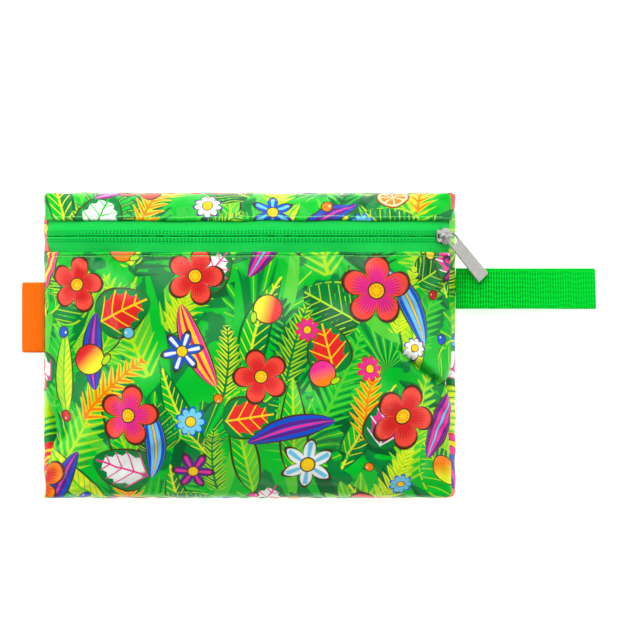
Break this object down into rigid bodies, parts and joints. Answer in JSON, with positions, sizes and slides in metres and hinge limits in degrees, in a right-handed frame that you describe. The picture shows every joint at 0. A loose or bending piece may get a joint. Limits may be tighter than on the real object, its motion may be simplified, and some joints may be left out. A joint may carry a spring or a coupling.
{
  "type": "packed foldable duffel bag",
  "caption": "Foldable duffel bag packed flat into its own printed zip pouch, with a metal zip pull, a webbing carrying loop and a ribbon tag.",
  "frame": {"origin": "middle of the flat face that the pouch lies on", "axes": "+X along the zip towards the carrying loop, +Y towards the pouch's top edge, +Z out of the front panel"},
  "size_m": [0.3496, 0.1862, 0.04],
  "materials": {
    "print_fabric": "printed satin polyester",
    "zip_tape": "woven",
    "zip_coil": "satin",
    "slider_metal": "satin",
    "webbing": "ribbed webbing",
    "tag_ribbon": "woven ribbon"
  },
  "bodies": {
    "pouch": {"back_panel": "print_fabric", "front_lower_panel": "print_fabric", "front_upper_panel": "print_fabric", "packed_body": "print_fabric", "zip_tape_upper": "zip_tape", "zip_tape_lower": "zip_tape", "zip_coil_upper": "zip_coil", "zip_coil_lower": "zip_coil", "zip_slider": "slider_metal", "strap_loop": "webbing", "side_tag": "tag_ribbon"},
    "pull": {"zip_pull": "slider_metal"}
  },
  "joints": [
    {"name": "pull_swing", "type": "hinge", "parent": "pouch", "child": "pull", "pos_m": [0.12112, 0.06699, 0.02211], "axis": [-0.656, -0.6203, 0.4301], "range_deg": [0, 74]}
  ]
}
